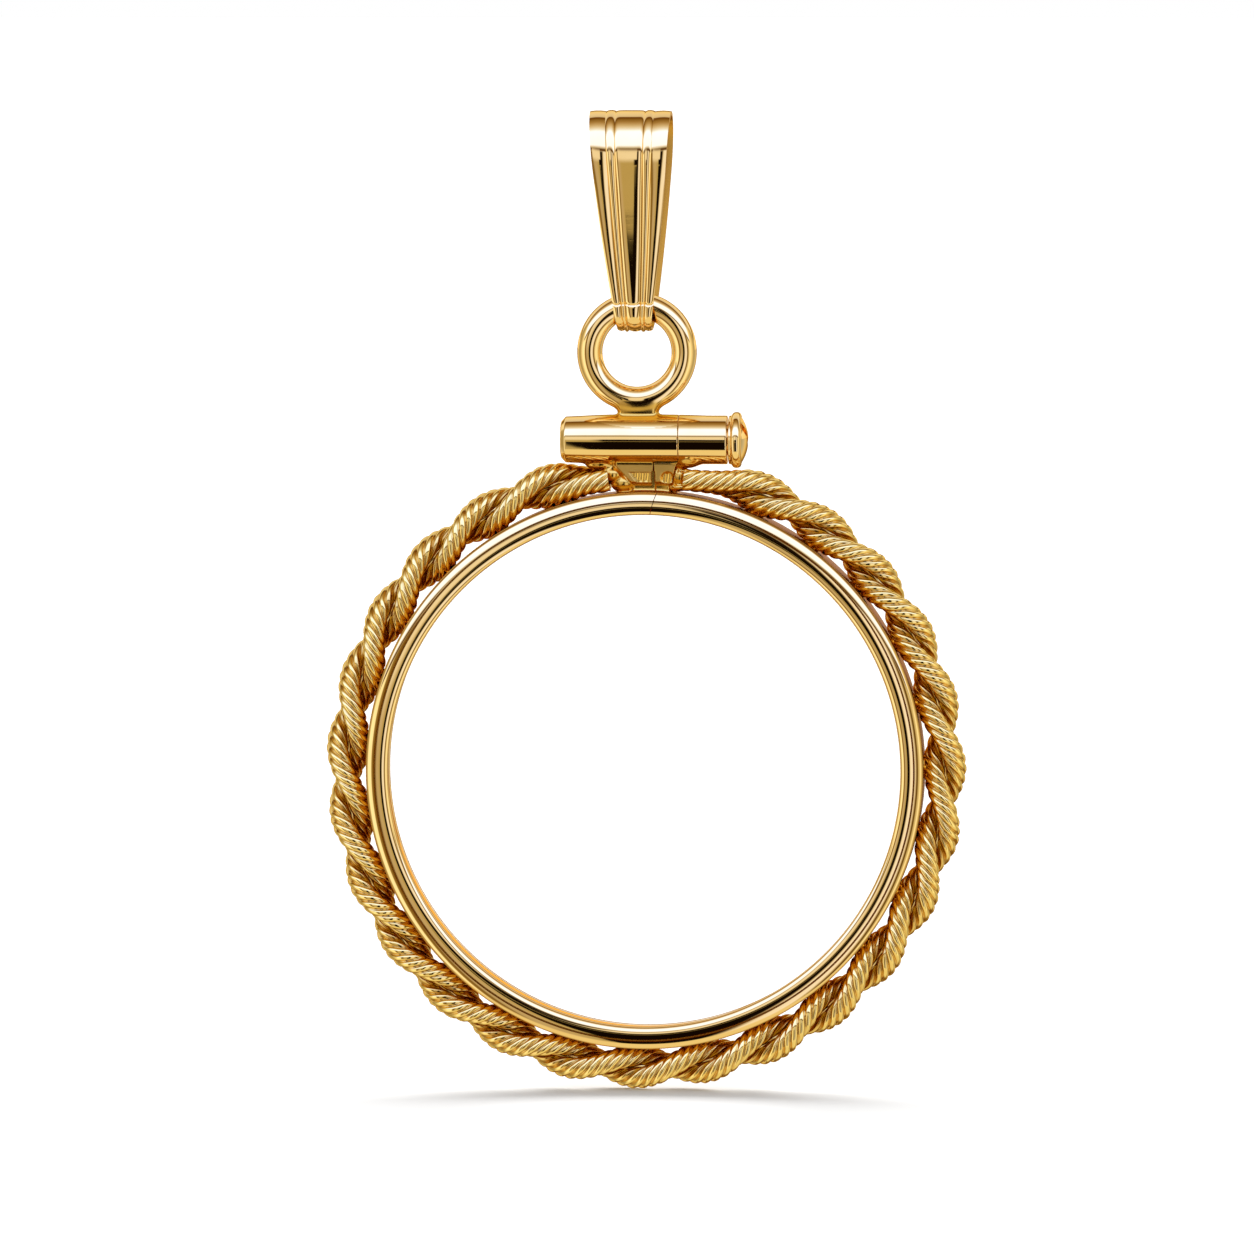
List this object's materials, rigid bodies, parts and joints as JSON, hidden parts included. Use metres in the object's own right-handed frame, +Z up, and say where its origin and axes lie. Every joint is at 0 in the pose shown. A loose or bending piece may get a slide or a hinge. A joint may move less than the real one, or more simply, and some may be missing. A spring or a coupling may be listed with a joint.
{
  "type": "coin bezel",
  "caption": "Screw-top coin bezel pendant: split channel ring with a twisted rope border, closure tube and screw, jump ring and tapered fluted bail.",
  "frame": {"origin": "chain seat: the underside of the bail's crown, straight above the centre of the coin ring", "axes": "+Z up, -Y out of the front face, +X to the right seen from the front, where the screw head is"},
  "size_m": [0.0262, 0.003, 0.0401],
  "materials": {
    "polished_gold": "polished 14 karat yellow gold",
    "rope_gold": "fine twisted 14 karat yellow gold wire, bright on the ridges and darker between them"
  },
  "bodies": {
    "bail": {"bail": "polished_gold"},
    "bezel": {"loop_and_long_tube": "polished_gold", "short_tube": "polished_gold", "coin_ring": "polished_gold", "rope_strand_a": "rope_gold", "rope_strand_b": "rope_gold"},
    "screw": {"closure_screw": "polished_gold"}
  },
  "joints": [
    {"name": "bezel_swing", "type": "hinge", "parent": "bail", "child": "bezel", "pos_m": [0, 0, -0.0077], "axis": [1, 0, 0], "range_deg": [-135, 135]},
    {"name": "screw_out", "type": "slide", "parent": "bezel", "child": "screw", "axis": [1, 0, 0], "range_m": [0, 0.007]}
  ]
}
